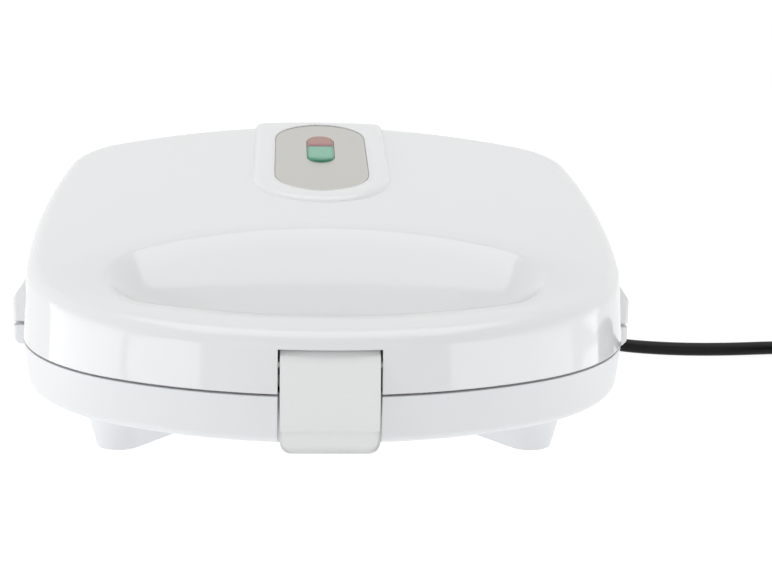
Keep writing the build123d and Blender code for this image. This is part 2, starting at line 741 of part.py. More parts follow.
def lower_plate_form():
    # The lower baking plate with its face at Z = 0
    plate = extrude(outline(BAKE_INSET), amount=-BAKE_THICK)
    half = LATCH_WIDTH / 2 + LATCH_GAP + WALL + BAKE_NOTCH_MARGIN
    plate -= span_box(
        (-half, -2 * FRONT_REACH, -2 * BAKE_THICK),
        (half, RECESS_BACK_Y + WALL + BAKE_NOTCH_MARGIN, 2 * BAKE_THICK),
    )
    outside = ring_back()
    inside = Torus(RING_RADIUS, RING_DEPTH)
    for x, y in ring_centres():
        plate += Pos(x, y, 0) * outside
    for x, y in ring_centres():
        plate -= Pos(x, y, 0) * inside
    for x, y in four_corners(BOSS_X, BOSS_Y):
        plate += boss_column(PLATE_BOSS / 2, -BAKE_THICK - PLATE_BOSS_HEIGHT, -BAKE_THICK, x, y)
        plate -= boss_column(SCREW_RADIUS + SCREW_GAP, -BAKE_THICK - PLATE_BOSS_HEIGHT, 0.0, x, y)
        plate -= boss_column(SCREW_HEAD + SCREW_GAP, -SCREW_HEAD_HEIGHT, 0.0, x, y)
    return plate


def turned_over(shape):
    return mirror(shape, about=Plane.XY)


def make_lower_plate():
    return Pos(0, 0, PARTING_Z - BAKE_GAP / 2) * lower_plate_form()


def make_upper_plate():
    plate = turned_over(lower_plate_form())
    plate += boss_column(PEDESTAL_RADIUS, BAKE_THICK, BAKE_THICK + PEDESTAL_HEIGHT, 0, THERMOSTAT_Y)
    return Pos(0, 0, PARTING_Z + BAKE_GAP / 2) * plate


def lower_screw():
    # A screw seen from its place in the plate's face at Z = 0
    length = BAKE_THICK + PLATE_BOSS_HEIGHT + SCREW_REACH
    head = boss_column(SCREW_HEAD, -SCREW_HEAD_HEIGHT, -SCREW_GAP, 0, 0)
    return head + boss_column(SCREW_RADIUS, -length, -SCREW_HEAD_HEIGHT, 0, 0)


def make_lower_screws():
    place = Pos(0, 0, PARTING_Z - BAKE_GAP / 2)
    return [place * Pos(x, y, 0) * lower_screw() for x, y in four_corners(BOSS_X, BOSS_Y)]


def make_upper_screws():
    place = Pos(0, 0, PARTING_Z + BAKE_GAP / 2)
    screw = turned_over(lower_screw())
    return [place * Pos(x, y, 0) * screw for x, y in four_corners(BOSS_X, BOSS_Y)]


def element_depth():
    # How far the tube's middle lies behind the plate's face when it rests in the valleys of the rings
    return ring_back_side() - RING_SPACE + sqrt(2) * (TUBE_RADIUS + TUBE_SEAT)


def shield_level():
    # How far the shield lies from the parting line, just clear of the element
    return BAKE_GAP / 2 + element_depth() + TUBE_RADIUS + SHIELD_GAP


def heating_element():
    # An open loop round the middle ring, with a terminal at each end
    radius = RING_PITCH / 2
    start = 90.0 + TUBE_GAP_ANGLE / 2
    loop = CenterArc((0, 0), radius, start, 360.0 - TUBE_GAP_ANGLE)
    tube = sweep((loop ^ 0) * Circle(TUBE_RADIUS), path=loop)
    pins = []
    for end, way in ((0, -1), (1, 1)):
        spot = loop @ end
        along = (loop % end) * way
        plane = Plane(origin=spot, z_dir=along)
        pins.append(plane * Pos(0, 0, TERMINAL_LENGTH / 2) * Cylinder(TERMINAL_RADIUS, TERMINAL_LENGTH))
    return tube + pins


def make_lower_element():
    return Pos(0, 0, PARTING_Z - BAKE_GAP / 2 - element_depth()) * heating_element()


def make_upper_element():
    return Pos(0, 0, PARTING_Z + BAKE_GAP / 2 + element_depth()) * heating_element()


def shield_sheet():
    sheet = extrude(outline(SHIELD_INSET), amount=SHIELD_THICK)
    for x, y in four_corners(BOSS_X, BOSS_Y):
        sheet -= boss_column(PLATE_BOSS / 2 + SHIELD_HOLE_GAP, -SHIELD_THICK, 2 * SHIELD_THICK, x, y)
    return sheet


def make_lower_shield():
    half = BLOCK_LENGTH / 2 + SHIELD_CUT_GAP
    front = BLOCK_Y - BLOCK_WIDTH / 2 - SHIELD_CUT_GAP
    room = span_box((BLOCK_X - half, front, -WALL), (BLOCK_X + half, 2 * REAR_REACH, WALL))
    return Pos(0, 0, PARTING_Z - shield_level() - SHIELD_THICK) * (shield_sheet() - room)


def make_upper_shield():
    sheet = shield_sheet()
    sheet -= span_box((-2 * HALF_WIDTH, -2 * FRONT_REACH, -WALL), (2 * HALF_WIDTH, SHIELD_FRONT_Y, WALL))
    sheet -= boss_column(THERMOSTAT_RADIUS + 2 * WALL, -WALL, WALL, 0, THERMOSTAT_Y)
    return Pos(0, 0, PARTING_Z + shield_level()) * sheet


def make_thermostat():
    base_z = PARTING_Z + BAKE_GAP / 2 + BAKE_THICK + PEDESTAL_HEIGHT
    cap = THERMOSTAT_HEIGHT / 3
    body = boss_column(THERMOSTAT_RADIUS, base_z, base_z + cap, 0, THERMOSTAT_Y)
    top_z = base_z + THERMOSTAT_HEIGHT
    body += boss_column(THERMOSTAT_RADIUS - THERMOSTAT_LIP, base_z + cap, top_z, 0, THERMOSTAT_Y)
    tab_z = top_z - TAB_ROOT + TAB_LENGTH / 2
    for side in (-1, 1):
        tab = Box(TAB_THICK, TAB_WIDTH, TAB_LENGTH)
        body += Pos(side * THERMOSTAT_RADIUS / 2, THERMOSTAT_Y, tab_z) * tab
    return body


def make_thermal_fuse():
    seat = PARTING_Z + shield_level() + SHIELD_THICK
    level = seat + STRAP_THICK / 2
    strap = Pos(FUSE_X, FUSE_Y, level) * Box(FUSE_LENGTH / 2, 6 * FUSE_RADIUS, STRAP_THICK)
    can = cross_cylinder(FUSE_RADIUS, FUSE_LENGTH, FUSE_X, FUSE_Y, level + FUSE_RADIUS)
    leads = cross_cylinder(FUSE_LEAD_RADIUS, 2 * FUSE_LENGTH, FUSE_X, FUSE_Y, level + FUSE_RADIUS)
    return strap + can + leads


def make_trim_plate():
    face = stadium(PLATE_WIDTH, PLATE_FRONT_Y, PLATE_REAR_Y, 0.0) - lens_slot(LENS_GAP)
    return extrude(top_plane(plate_level()) * face, amount=PLATE_THICK)


def lens_blank():
    # Both lenses as one domed bar that stands in its slot
    low = holder_level()
    high = plate_level() + PLATE_THICK + LENS_PROUD
    bar = extrude(top_plane(low) * lens_slot(0.0), amount=high - low)
    rim = bar.faces().sort_by(Axis((0, 0, 0), top_plane(0.0).z_dir))[-1].edges()
    return fillet(rim, LENS_PROUD)


def half_space(front_y, rear_y):
    low = top_plane(-TOP_Z / 2)
    middle = along_top((front_y + rear_y) / 2)
    return low * Pos(0, middle, TOP_Z / 2) * Box(2 * HALF_WIDTH, along_top(rear_y - front_y), TOP_Z)


def make_green_lens():
    return lens_blank() & half_space(LENS_FRONT_Y - WALL, LENS_SPLIT_Y - LENS_GAP / 2)


def make_red_lens():
    return lens_blank() & half_space(LENS_SPLIT_Y + LENS_GAP / 2, LENS_REAR_Y + WALL)


def make_lamp_holder():
    low = holder_level() - HOLDER_DEPTH
    length = holder_length()
    middle = holder_middle()
    body = top_plane(low) * Pos(0, middle, HOLDER_DEPTH / 2) * Box(HOLDER_WIDTH, length, HOLDER_DEPTH)
    cell = (length - 3 * HOLDER_WALL) / 2
    for side in (-1, 1):
        shift = middle + side * (cell + HOLDER_WALL) / 2
        room = Box(LENS_WIDTH - 2 * HOLDER_WALL, cell - 2 * HOLDER_WALL, HOLDER_DEPTH)
        body -= top_plane(low) * Pos(0, shift, HOLDER_DEPTH / 2 + HOLDER_WALL) * room
    return body


def make_neon_lamps():
    level = holder_level() - HOLDER_DEPTH + HOLDER_WALL + LAMP_RADIUS
    middle = holder_middle()
    cell = (holder_length() - 3 * HOLDER_WALL) / 2
    lamps = []
    for side in (-1, 1):
        shift = middle + side * (cell + HOLDER_WALL) / 2
        bulb = Rot(90, 0, 0) * Cylinder(LAMP_RADIUS, LAMP_LENGTH)
        lamps.append(top_plane(level) * Pos(0, shift, 0) * bulb)
    return lamps


def make_terminal_block():
    floor = BASE_BOTTOM_Z + WALL
    body = Pos(BLOCK_X, BLOCK_Y, floor + BLOCK_HEIGHT / 2) * Box(BLOCK_LENGTH, BLOCK_WIDTH, BLOCK_HEIGHT)
    pitch = BLOCK_LENGTH / BLOCK_POLES
    middle = floor + BLOCK_HEIGHT / 2
    for i in range(BLOCK_POLES):
        x = BLOCK_X + (i - (BLOCK_POLES - 1) / 2) * pitch
        body -= Pos(x, BLOCK_Y, middle) * Rot(90, 0, 0) * Cylinder(BLOCK_BORE, 2 * BLOCK_WIDTH)
        body -= boss_column(BLOCK_WELL, middle, middle + 2 * BLOCK_HEIGHT, x, BLOCK_Y)
    return body


def hinge_pin():
    shank = KNUCKLE_WIDTH + 2 * HINGE_SIDE_GAP + 2 * HINGE_LUG
    pin = cross_cylinder(HINGE_PIN_RADIUS, shank, HINGE_X, HINGE_Y, HINGE_Z)
    for side in (-1, 1):
        x = HINGE_X + side * (shank + HINGE_PIN_HEAD) / 2
        pin += cross_cylinder(HINGE_PIN_RADIUS + HINGE_PIN_LIP, HINGE_PIN_HEAD, x, HINGE_Y, HINGE_Z)
    return pin


def gland_seat_y():
    # Where the base's rear wall stands at the gland, at the gland's upper edge
    bow = GLAND_X**2 / (2 * REAR_RADIUS)
    lean = (BASE_TOP_Z - GLAND_Z - GLAND_FLANGE) * tan(radians(BASE_DRAFT))
    return REAR_REACH - bow - max(lean, 0.0) + GLAND_STAND


def gland_end_y():
    return gland_seat_y() + GLAND_FLANGE_THICK + GLAND_LENGTH


def make_cord_gland():
    seat = gland_seat_y()
    flange_end = seat + GLAND_FLANGE_THICK
    profile = Polyline(
        (0, seat - GLAND_GRIP),
        (GLAND_RADIUS, seat - GLAND_GRIP),
        (GLAND_RADIUS, seat),
        (GLAND_FLANGE, seat),
        (GLAND_FLANGE, flange_end),
        (GLAND_RADIUS, flange_end + GLAND_BEVEL),
        (GLAND_TIP, gland_end_y()),
        (0, gland_end_y()),
        close=True,
    )
    body = revolve(make_face(profile), axis=Axis.Y)
    return Pos(GLAND_X, 0, GLAND_Z) * body


def cord_points():
    start = (GLAND_X, gland_end_y(), GLAND_Z)
    end = (COIL_X - COIL_START, COIL_Y + COIL_RADIUS, COIL_LINE)
    before = (end[0] - COIL_ENTRY, end[1], end[2])
    return [Vector(*p) for p in [start] + CORD_ROUTE + [before, end]]


def cord_radii(points):
    radii = []
    for before, corner, after in zip(points, points[1:], points[2:]):
        first = corner - before
        second = after - corner
        half_turn = radians(first.get_angle(second)) / 2
        radii.append(CORD_BEND * min(first.length, second.length) / tan(half_turn))
    return radii


def make_power_cord():
    points = cord_points()
    radii = cord_radii(points)
    print("cord radii", [round(r, 1) for r in radii])
    path = FilletPolyline(*points, radius=radii)
    tube = sweep(Plane(origin=points[0], z_dir=path % 0) * Circle(CORD_DIAMETER / 2), path=path)
    ratio = tube.volume / (pi * CORD_DIAMETER**2 / 4 * path.length)
    print("cord length", round(path.length, 1), "volume ratio", round(ratio, 4))
    return tube


def biarc(start, start_way, end, end_way):
    # Two tangent arcs between two points with given directions
    chord = end - start
    ways = start_way + end_way
    square = 2 * (start_way.dot(end_way) - 1)
    if abs(square) < 1e-9:
        reach = chord.length**2 / (2 * chord.dot(ways))
    else:
        slope = -2 * chord.dot(ways)
        reach = (-slope - sqrt(slope**2 - 4 * square * chord.length**2)) / (2 * square)
    joint = (start + start_way * reach + end - end_way * reach) / 2
    first = TangentArc(start, joint, tangent=start_way)
    second = TangentArc(end, joint, tangent=end_way * -1)
    return [first, Edge.make_three_point_arc(joint, second @ 0.5, end)]


def coil_path():
    # In on the lower layer, up a layer in a half turn, out on the upper layer, then off to the plug
    top = Vector(COIL_X, COIL_Y + COIL_RADIUS, COIL_LINE)
    ahead = Vector(1, 0, 0)
    edges = [Line(top - ahead * COIL_START, top)]
    radius = COIL_RADIUS
    spot = top
    way = ahead
    steps = [-0.5, -0.5, -0.5, 0.0, 0.5, 0.5]
    for i, step in enumerate(steps):
        side = -1 if i % 2 == 0 else 1
        climb = COIL_CLIMB if step == 0.0 else 0.0
        end = spot + Vector(0, side * 2 * radius, climb)
        edges += biarc(spot, way, end, way * -1)
        spot = end
        way = way * -1
        change = step if step != 0.0 else 0.5
        radius += change * COIL_PITCH
    quarter = spot + Vector(radius, -radius, 0)
    edges += biarc(spot, way, quarter, Vector(0, -1, 0))
    lift = Vector(0, -cos(radians(PLUG_TILT)), sin(radians(PLUG_TILT)))
    tail = quarter + Vector(0, -TAIL_LENGTH, TAIL_RISE)
    edges += biarc(quarter, Vector(0, -1, 0), tail, lift)
    edges.append(Line(tail, tail + lift * CORD_DIAMETER))
    return edges


def self_gap(edges):
    # Least distance between stretches of the coil that are not neighbours along it
    samples = []
    travelled = 0.0
    for edge in edges:
        count = max(2, int(edge.length / 2))
        for i in range(count):
            samples.append((travelled + edge.length * i / count, edge @ (i / count)))
        travelled += edge.length
    least = None
    for i, (s, p) in enumerate(samples):
        for t, q in samples[i + 1 :]:
            if t - s > 6 * CORD_DIAMETER:
                distance = (p - q).length
                least = distance if least is None else min(least, distance)
    return least - CORD_DIAMETER


def make_cord_coil():
    edges = coil_path()
    print("coil least gap", round(self_gap(edges), 2), "length", round(sum(e.length for e in edges), 1))
    path = Wire(edges)
    return sweep(Plane(origin=path @ 0, z_dir=path % 0) * Circle(CORD_DIAMETER / 2), path=path)


def make_cord_tie():
    # A band round the turns on the coil's far side from the plug
    half = CORD_DIAMETER / 2 + TIE_GAP
    inner = COIL_RADIUS - 1.5 * COIL_PITCH - half - COIL_PITCH / 4
    outer = COIL_RADIUS - 0.75 * COIL_PITCH + half + COIL_PITCH / 4
    low = COIL_LINE - half
    high = COIL_LINE + COIL_CLIMB + half
    hole = span_box((COIL_X - outer, COIL_Y - TIE_WIDTH, low), (COIL_X - inner, COIL_Y + TIE_WIDTH, high))
    band = span_box(
        (COIL_X - outer - TIE_THICK, COIL_Y - TIE_WIDTH / 2, low - TIE_THICK / 2),
        (COIL_X - inner + TIE_THICK, COIL_Y + TIE_WIDTH / 2, high + TIE_THICK),
    )
    return band - hole


def plug_plane():
    last = coil_path()[-1]
    return Plane(origin=last @ 1, x_dir=(1, 0, 0), z_dir=last % 1)


def make_plug_body():
    profile = Polyline(
        (0, 0),
        (PLUG_SLEEVE_RADIUS - PLUG_SLEEVE_TAPER, 0),
        (PLUG_SLEEVE_RADIUS, PLUG_SLEEVE),
        (PLUG_RADIUS - PLUG_SHOULDER, PLUG_SLEEVE + PLUG_NECK),
        (PLUG_RADIUS, PLUG_SLEEVE + PLUG_LENGTH / 2),
        (PLUG_RADIUS, PLUG_SLEEVE + PLUG_LENGTH),
        (0, PLUG_SLEEVE + PLUG_LENGTH),
        close=True,
    )
    body = revolve(make_face(profile), axis=Axis.Y)
    body = Rot(90, 0, 0) * body
    return plug_plane() * body


def make_plug_pins():
    face = PLUG_SLEEVE + PLUG_LENGTH
    pins = []
    for side in (-1, 1):
        pin = Cylinder(PLUG_PIN_RADIUS, PLUG_PIN_LENGTH)
        pins.append(plug_plane() * Pos(side * PLUG_PIN_SPACING / 2, 0, face + PLUG_PIN_LENGTH / 2) * pin)
    return pins


def as_part(made):
    if isinstance(made, list):
        solids = [solid for shape in made for solid in shape.solids()]
        return Compound(children=solids)
    return made


def main():
    pieces = {
        "base_housing": make_base_housing,
        "foot_pads": make_foot_pads,
        "lower_baking_plate": make_lower_plate,
        "lower_heating_element": make_lower_element,
        "lower_heat_shield": make_lower_shield,
        "lower_plate_screws": make_lower_screws,
        "hinge_pins": lambda: both_sides(hinge_pin()),
        "cord_gland": make_cord_gland,
        "terminal_block": make_terminal_block,
        "power_cord": make_power_cord,
        "cord_coil": make_cord_coil,
        "cord_tie": make_cord_tie,
        "plug_body": make_plug_body,
        "plug_pins": make_plug_pins,
        "lid_housing": make_lid_housing,
        "trim_plate": make_trim_plate,
        "green_lens": make_green_lens,
        "red_lens": make_red_lens,
        "lamp_holder": make_lamp_holder,
        "neon_lamps": make_neon_lamps,
        "upper_baking_plate": make_upper_plate,
        "upper_heating_element": make_upper_element,
        "upper_heat_shield": make_upper_shield,
        "upper_plate_screws": make_upper_screws,
        "thermostat": make_thermostat,
        "thermal_fuse": make_thermal_fuse,
        "latch": make_latch,
        "latch_pin": make_latch_pin,
    }
    os.makedirs("parts", exist_ok=True)
    for name, make in pieces.items():
        export_step(as_part(make()), f"parts/{name}.step")


if __name__ == "__main__":
    main()
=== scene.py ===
# %% [markdown]
# # A table-top donut maker, dressed for its portrait
#
# The solid model gives every rigid piece its true form and its joints. This lesson adds what the
# solids can't say: the camera, the light, the flexible cord and the finish of each material.
# One cell does one job, and says what it made.

# %% Load the solid model
from math import cos, pi, radians, sin

import bmesh
import bpy
from mathutils import Matrix, Vector


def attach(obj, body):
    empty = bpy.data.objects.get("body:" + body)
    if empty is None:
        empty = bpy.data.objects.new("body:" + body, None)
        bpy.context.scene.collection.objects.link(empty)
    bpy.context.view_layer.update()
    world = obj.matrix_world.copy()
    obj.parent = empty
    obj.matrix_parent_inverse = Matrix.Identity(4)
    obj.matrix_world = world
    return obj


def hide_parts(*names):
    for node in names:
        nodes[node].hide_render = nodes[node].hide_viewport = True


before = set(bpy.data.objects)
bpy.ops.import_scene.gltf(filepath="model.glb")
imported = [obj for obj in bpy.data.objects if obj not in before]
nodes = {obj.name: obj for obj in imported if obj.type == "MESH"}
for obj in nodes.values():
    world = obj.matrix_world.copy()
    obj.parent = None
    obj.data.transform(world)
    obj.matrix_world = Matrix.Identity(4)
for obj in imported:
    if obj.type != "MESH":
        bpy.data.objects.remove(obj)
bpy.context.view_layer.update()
MM = 0.001
print("solid pieces:", len(nodes))

# %% [markdown]
# ## Camera
#
# A product photographer stands a little above the lid, close to the middle, with a short telephoto
# lens. The place, the tilt and the focal length below were found by fitting the edges of the housing,
# so the camera is set by its three axes and not by aiming it at a point. The small shift is the
# off-centre crop of the picture.

# %% Set the camera
CAMERA_PLACE = Vector((-14.85, -600.36, 182.34)) * MM
CAMERA_FORWARD = Vector((0.0439, 0.9746, -0.2197)).normalized()
CAMERA_ROLL = radians(0.86)
SENSOR_WIDTH = 36.0
FOCAL_LENGTH = 71.57
SHIFT_RIGHT = 0.0425
SHIFT_UP = -0.0019
NEAREST = 0.01

level_right = CAMERA_FORWARD.cross(Vector((0, 0, 1))).normalized()
level_up = level_right.cross(CAMERA_FORWARD)
right = level_right * cos(CAMERA_ROLL) + level_up * sin(CAMERA_ROLL)
up = right.cross(CAMERA_FORWARD)
lens = bpy.data.cameras.new("portrait_camera")
lens.sensor_width = SENSOR_WIDTH
lens.lens = FOCAL_LENGTH
lens.shift_x = SHIFT_RIGHT
lens.shift_y = SHIFT_UP
lens.clip_start = NEAREST
camera = bpy.data.objects.new("portrait_camera", lens)
axes = Matrix((right, up, -CAMERA_FORWARD)).transposed()
camera.matrix_world = Matrix.Translation(CAMERA_PLACE) @ axes.to_4x4()
bpy.context.collection.objects.link(camera)
bpy.context.scene.camera = camera
print("camera stands", round(CAMERA_PLACE.length, 3), "m from the middle of the base")

# %% [markdown]
# ## The mains cord
#
# The cord is one flexible length: it leaves the strain relief at the rear, drops to the table, comes
# round the side and goes off to the right. What isn't seen is wound up beside the picture, with the
# plug at its end. A single smooth spline does this well, because its control points are the route's
# corners and the curve rounds them by itself.

# %% Route of the cord
CORD_DIAMETER = 6.0
FLOOR_LINE = 3.05
COIL_LINE = 3.9

# corners in mm, from the strain relief to the start of the coil
cord_route = [
    (35.0, 144.4, 26.6),
    (35.0, 164.5, 26.6),
    (42.0, 185.0, 16.0),
    (62.0, 198.0, 5.0),
    (89.0, 195.0, FLOOR_LINE),
    (111.0, 176.0, FLOOR_LINE),
    (117.0, 150.0, FLOOR_LINE),
    (116.0, 122.0, FLOOR_LINE),
    (121.0, 96.5, FLOOR_LINE),
    (136.0, 79.0, FLOOR_LINE),
    (159.0, 71.8, FLOOR_LINE),
    (184.0, 71.0, FLOOR_LINE),
    (212.0, 72.0, COIL_LINE),
    (232.0, 72.0, COIL_LINE),
]
print("corners before the coil:", len(cord_route))

# %% [markdown]
# The coil goes inwards on the lower layer, climbs in one half turn and comes out on the upper layer.
# Each half turn has its own radius. A spline of this order runs inside its control points, so they
# stand a little further out than the cord itself.

# %% Helper that bends the cord round the coil
COIL_MIDDLE = (240.0, 34.5)
COIL_RADIUS = 37.5
COIL_PITCH = 6.6
COIL_CLIMB = 6.7
HALF_TURN_STEPS = 8

half_step = pi / HALF_TURN_STEPS / 2
spread = 1 / cos(half_step)


def bend_points(start_y, side, radius, steps):
    # side is 1 for a bend round the right of the coil and -1 for one round the left
    middle_y = start_y - side * radius
    points = []
    for i in range(steps):
        turn = (2 * i + 1) * half_step
        x = COIL_MIDDLE[0] + side * radius * spread * sin(turn)
        y = middle_y + side * radius * spread * cos(turn)
        points.append((x, y))
    return points


# %% Turns of the coil
# for each half turn: how many pitches wider the next one is, and whether this one climbs a layer
half_turns = [(-0.5, 0), (-0.5, 0), (-0.5, 0), (0.5, 1), (0.5, 0), (0.5, 0)]
# from the coil to the plug: how far forward and how much higher, in mm
PLUG_LEAD = [(13.0, 0.0), (27.0, 0.2), (40.0, 1.25), (45.95, 2.04)]

radius = COIL_RADIUS
height = COIL_LINE
start_y = COIL_MIDDLE[1] + COIL_RADIUS
side = 1
for change, climbs in half_turns:
    for i, (x, y) in enumerate(bend_points(start_y, side, radius, HALF_TURN_STEPS)):
        z = height + climbs * COIL_CLIMB * (i + 0.5) / HALF_TURN_STEPS
        cord_route.append((x, y, z))
    height += climbs * COIL_CLIMB
    start_y -= side * 2 * radius
    side = -side
    radius += change * COIL_PITCH
for x, y in bend_points(start_y, side, radius, HALF_TURN_STEPS // 2):
    cord_route.append((x, y, height))
exit_x = COIL_MIDDLE[0] + radius
exit_y = start_y - radius
cord_route += [(exit_x, exit_y - forward, height + rise) for forward, rise in PLUG_LEAD]
print("cord control points:", len(cord_route))

# %% Make the cord
line = bpy.data.curves.new("mains_cord", "CURVE")
line.dimensions = "3D"
line.bevel_depth = 1.0
line.bevel_resolution = 6
line.resolution_u = 8
line.use_fill_caps = True
spline = line.splines.new("NURBS")
spline.points.add(len(cord_route) - 1)
for point, place in zip(spline.points, cord_route):
    point.co = (place[0] * MM, place[1] * MM, place[2] * MM, 1.0)
    point.radius = CORD_DIAMETER / 2 * MM
spline.order_u = 3
spline.use_endpoint_u = True
mains_cord = bpy.data.objects.new("mains_cord", line)
bpy.context.collection.objects.link(mains_cord)
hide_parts("power_cord", "cord_coil")
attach(mains_cord, "base")
print("cord made, about 1 m with its coil")

# %% [markdown]
# ## Studio
#
# White plastic on a white ground is shown by its soft shadows and by what it mirrors. The camera,
# mirror-like surfaces and clear plastic see a plain white room. The light that falls on matt surfaces
# is set by itself, dimmer in front than behind, so that colours come out about as they are written.
#
# Soft boxes stand overhead, in front and at both sides. The side boxes light matt surfaces only,
# because their mirror images would burn out the lid's top when it is seen from the side. Three low
# cards do the opposite: they light nothing matt, and only show as gleams on the lid's flank.

# %% Helpers for shader nodes and colours
def add_node(tree, kind, settings=None, inputs=None):
    node = tree.nodes.new(kind)
    for name, value in (settings or {}).items():
        setattr(node, name, value)
    for name, value in (inputs or {}).items():
        if isinstance(value, bpy.types.NodeSocket):
            tree.links.new(value, node.inputs[name])
        else:
            node.inputs[name].default_value = value
    return node


def linear(hex_colour):
    channels = [int(hex_colour[i : i + 2], 16) / 255 for i in (1, 3, 5)]
    straight = [c / 12.92 if c <= 0.04045 else ((c + 0.055) / 1.055) ** 2.4 for c in channels]
    return (*straight, 1.0)


def darkened(hex_colour, share):
    return (*(c * share for c in linear(hex_colour)[:3]), 1.0)


def seen_directly(tree):
    # 1 where the camera, a mirror or clear plastic looks, 0 for the light that falls on matt surfaces
    rays = add_node(tree, "ShaderNodeLightPath")
    level = rays.outputs["Is Camera Ray"]
    for name in ("Is Glossy Ray", "Is Transmission Ray"):
        either = add_node(
            tree,
            "ShaderNodeMath",
            {"operation": "MAXIMUM"},
            {0: level, 1: rays.outputs[name]},
        )
        level = either.outputs[0]
    return level


# %% The white room
FRONT_LIGHT = 0.32
REAR_LIGHT = 0.60
WHITE = linear("#FFFFFF")

world = bpy.data.worlds.new("white_room")
bpy.context.scene.world = world
world.use_nodes = True
room = world.node_tree
room.nodes.clear()
way = add_node(room, "ShaderNodeTexCoord")
axis = add_node(room, "ShaderNodeSeparateXYZ", None, {0: way.outputs["Generated"]})
falling = add_node(
    room,
    "ShaderNodeMapRange",
    None,
    {"Value": axis.outputs["Y"], "From Min": -1.0, "To Min": FRONT_LIGHT, "To Max": REAR_LIGHT},
)
strength = add_node(
    room,
    "ShaderNodeMapRange",
    None,
    {"Value": seen_directly(room), "To Min": falling.outputs[0], "To Max": 1.0},
)
walls = add_node(
    room,
    "ShaderNodeBackground",
    None,
    {"Color": WHITE, "Strength": strength.outputs[0]},
)
add_node(room, "ShaderNodeOutputWorld", None, {"Surface": walls.outputs[0]})
bpy.context.scene.view_settings.view_transform = "Standard"
print("room light", FRONT_LIGHT, "in front,", REAR_LIGHT, "behind")

# %% Soft boxes and cards
# name: place, aim, width and height, power, and whether matt or glossy surfaces or both see it
soft_boxes = {
    "overhead_box": ((0.0, -0.05, 1.10), (0.0, 0.0, 0.05), (1.3, 1.0), 5.9, "both"),
    "front_box": ((-0.1, -1.40, 0.26), (0.0, 0.0, 0.05), (1.6, 0.5), 0.9, "both"),
    "left_box": ((-0.95, -0.35, 0.20), (0.0, 0.0, 0.04), (0.6, 0.36), 2.7, "matt"),
    "right_box": ((1.0, -0.30, 0.20), (0.0, 0.0, 0.04), (0.6, 0.36), 1.9, "matt"),
    "left_card": ((-0.19, -0.095, 0.035), (0.0, -0.095, 0.035), (0.13, 0.07), 0.045, "glossy"),
    "left_low_card": ((-0.19, -0.233, 0.022), (0.0, -0.233, 0.022), (0.135, 0.045), 0.029, "glossy"),
    "right_card": ((0.19, -0.165, 0.03), (0.0, -0.165, 0.03), (0.27, 0.06), 0.074, "glossy"),
}
for name, (place, aim, size, power, seen_by) in soft_boxes.items():
    lamp = bpy.data.lights.new(name, "AREA")
    lamp.shape = "RECTANGLE"
    lamp.size, lamp.size_y = size
    lamp.energy = power
    box = bpy.data.objects.new(name, lamp)
    box.location = place
    box.rotation_euler = (Vector(aim) - Vector(place)).to_track_quat("-Z", "Y").to_euler()
    box.visible_camera = False
    box.visible_diffuse = seen_by != "glossy"
    box.visible_glossy = seen_by != "matt"
    bpy.context.collection.objects.link(box)
print("soft boxes:", ", ".join(soft_boxes))

# %% [markdown]
# The table top is white paper. It could be lit until it is white, but that would put too much light
# on the object. So it glows a little by itself, like a light table, and the rest of it is matt paper
# that takes the object's shadow. The glow has a larger share where the camera or a mirror looks.

# %% The table top
FLOOR_REACH = 6.0
GLOW = 1.16
GLOW_SHARE_FALLING = 0.62
GLOW_SHARE_SEEN = 0.8


def new_material(name):
    material = bpy.data.materials.new(name)
    material.use_nodes = True
    material.node_tree.nodes.clear()
    return material, material.node_tree


sheet = bmesh.new()
bmesh.ops.create_grid(sheet, x_segments=1, y_segments=1, size=FLOOR_REACH)
floor_mesh = bpy.data.meshes.new("table_top")
sheet.to_mesh(floor_mesh)
sheet.free()
table_top = bpy.data.objects.new("table_top", floor_mesh)
bpy.context.collection.objects.link(table_top)
paper, tree = new_material("white_paper_ground")
matt = add_node(tree, "ShaderNodeBsdfDiffuse", None, {"Color": linear("#F4F4F4")})
glow = add_node(tree, "ShaderNodeEmission", None, {"Color": WHITE, "Strength": GLOW})
share = add_node(
    tree,
    "ShaderNodeMapRange",
    None,
    {"Value": seen_directly(tree), "To Min": GLOW_SHARE_FALLING, "To Max": GLOW_SHARE_SEEN},
)
blend = add_node(
    tree,
    "ShaderNodeMixShader",
    None,
    {0: share.outputs[0], 1: matt.outputs[0], 2: glow.outputs[0]},
)
add_node(tree, "ShaderNodeOutputMaterial", None, {"Surface": blend.outputs[0]})
floor_mesh.materials.append(paper)
print("table top", 2 * FLOOR_REACH, "m across")

# %% [markdown]
# ## Moulded white plastic
#
# The housing is injection-moulded ABS. Polished steel moulds give the lid a gloss with a very slight
# waviness, called orange peel, some millimetres wide. The base and the latch come from a satin mould
# with a finer grain. One shader makes both, with another roughness and a weak bump of another width.
#
# No moulded edge is quite sharp, so a Bevel node bends the light round each edge over 0.6 mm. Some
# places blend much more softly: the bottom of the finger pocket, the rib's corners and the step at
# the latch's foot. Such a soft place is an ellipsoid with a wider rounding, which fades out towards
# its surface. It can also paint shade into the colour, as on the pocket's wall, which came out too
# light.

# %% Function for moulded plastic
EDGE_MM = 0.6
PLASTIC_IOR = 1.53
PLAIN_SHINE = 0.5
SLIGHT_MOTTLE = 0.01
BEVEL_SAMPLES = 4
ROUNDING_FADES_FROM = 0.8
PAINTED_SHADE_FADES_FROM = 0.6


# a share below 1 darkens the colour inside the place as painted shade
def soft_place(piece, middle, half_sizes, round_mm=EDGE_MM, share=1.0):
    origin = nodes[piece].matrix_world.translation
    return Vector(middle) - origin, half_sizes, round_mm, share


